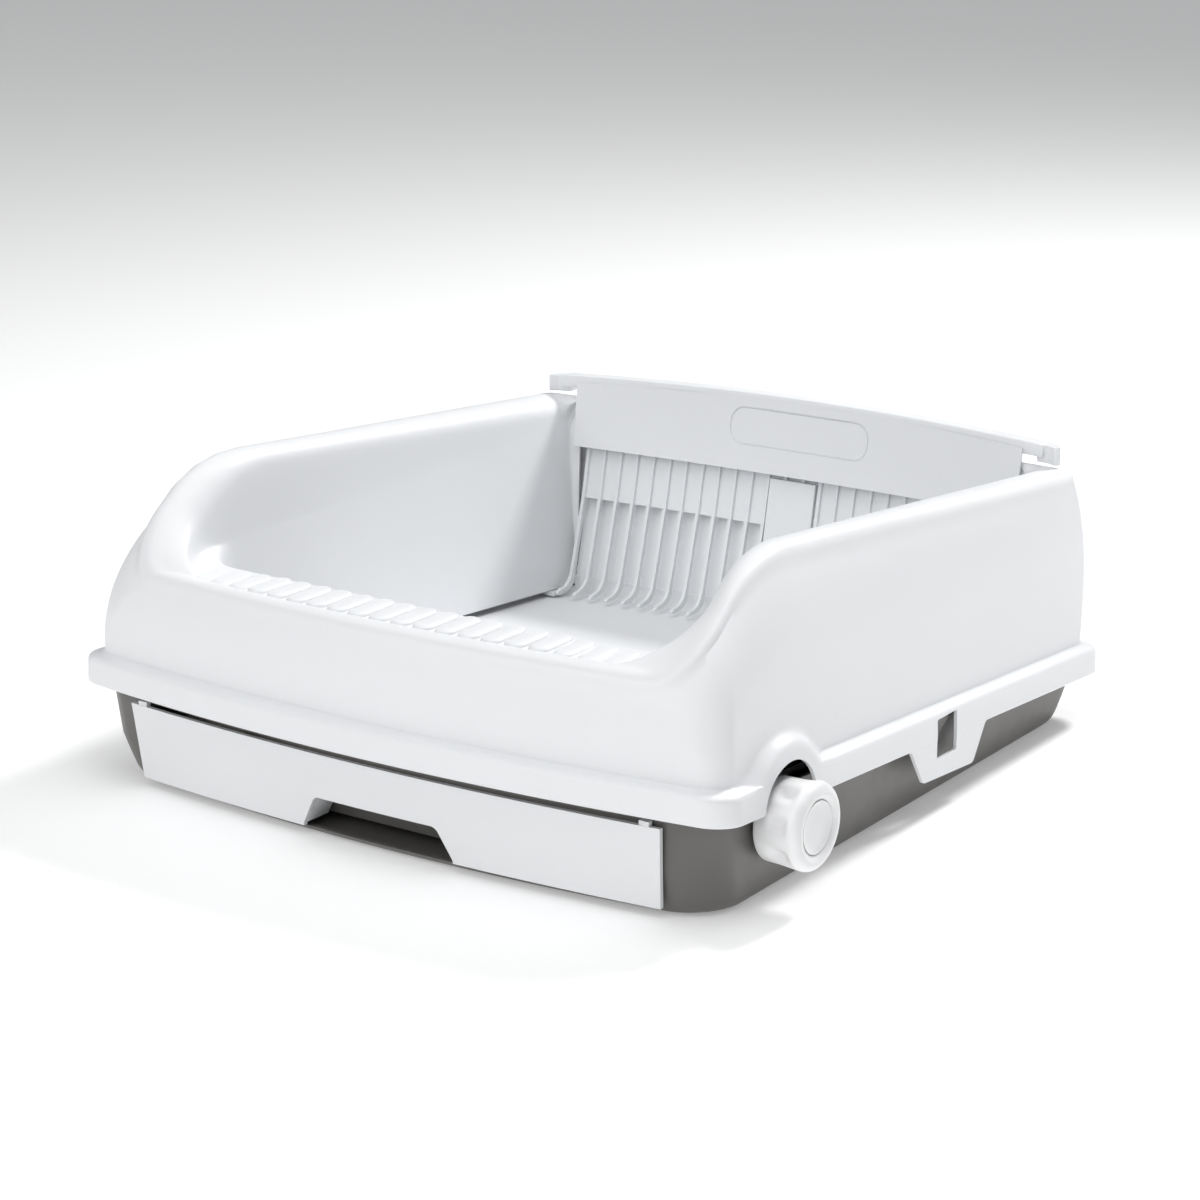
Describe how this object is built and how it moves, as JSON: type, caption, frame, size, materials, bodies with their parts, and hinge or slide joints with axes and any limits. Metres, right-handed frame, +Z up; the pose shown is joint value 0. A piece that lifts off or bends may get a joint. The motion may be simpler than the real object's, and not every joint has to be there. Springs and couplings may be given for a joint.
{
  "type": "cat litter box",
  "caption": "Cat litter box: grey base tub with a white open-topped hood, sloping pan, knob-driven sifting rake and a pull-out front waste drawer.",
  "frame": {"origin": "on the floor, in the middle of the base tub's flat underside", "axes": "+Z up, front towards -Y, knob side +X"},
  "size_m": [0.521, 0.5277, 0.2039],
  "materials": {
    "white_shell": "satin moulded polypropylene, cool white",
    "white_rake": "matte moulded polypropylene, white",
    "white_knob": "satin bright white moulding",
    "grey_tub": "fine-textured warm grey polypropylene",
    "grey_moulding": "plain grey moulding",
    "black_rubber": "flat drive belt",
    "steel": "drawn bar"
  },
  "bodies": {
    "base": {"base_tub": "grey_tub", "litter_pan": "white_shell", "pan_support_front": "grey_moulding", "pan_support_rear": "grey_moulding", "drawer_rail_left": "grey_moulding", "drawer_rail_right": "grey_moulding", "drive_belt_left": "black_rubber", "drive_belt_right": "black_rubber", "idler_axle_left": "steel", "idler_axle_right": "steel", "shaft_bush_left": "grey_moulding", "shaft_bush_right": "grey_moulding"},
    "hood": {"hood_shell": "white_shell"},
    "back_panel": {"back_panel": "white_shell"},
    "drawer": {"drawer_front": "white_shell", "drawer_bin": "grey_moulding"},
    "rake": {"rake_comb": "white_rake", "rake_arm_left": "white_rake", "rake_arm_right": "white_rake", "belt_clamp_left": "grey_moulding", "belt_clamp_right": "grey_moulding"},
    "knob_shaft": {"drive_shaft": "steel", "knob": "white_knob", "knob_cap": "white_knob", "drive_pulley_left": "grey_moulding", "drive_pulley_right": "grey_moulding"},
    "idler_left": {"idler_left": "grey_moulding"},
    "idler_right": {"idler_right": "grey_moulding"}
  },
  "joints": [
    {"name": "hood_lift", "type": "slide", "parent": "base", "child": "hood", "axis": [0, 0, 1], "range_m": [0, 0.25]},
    {"name": "back_panel_lift", "type": "slide", "parent": "hood", "child": "back_panel", "axis": [0, 0, 1], "range_m": [0, 0.08]},
    {"name": "drawer_slide", "type": "slide", "parent": "base", "child": "drawer", "axis": [0, -1, 0], "range_m": [0, 0.15]},
    {"name": "rake_travel", "type": "slide", "parent": "base", "child": "rake", "axis": [0, -0.9978, 0.0658], "range_m": [0, 0.315]},
    {"name": "knob_turn", "type": "hinge", "parent": "base", "child": "knob_shaft", "pos_m": [0, -0.178, 0.052], "axis": [1, 0, 0], "range_deg": [0, 1660]},
    {"name": "idler_left_turn", "type": "hinge", "parent": "base", "child": "idler_left", "pos_m": [-0.2075, 0.20517, 0.02675], "axis": [1, 0, 0], "range_deg": [0, 1660]},
    {"name": "idler_right_turn", "type": "hinge", "parent": "base", "child": "idler_right", "pos_m": [0.2075, 0.20517, 0.02675], "axis": [1, 0, 0], "range_deg": [0, 1660]}
  ],
  "couplings": [
    {"joint": "knob_turn", "follows": "rake_travel", "rad_per_m": 91.743},
    {"joint": "idler_left_turn", "follows": "rake_travel", "rad_per_m": 91.743},
    {"joint": "idler_right_turn", "follows": "rake_travel", "rad_per_m": 91.743}
  ]
}
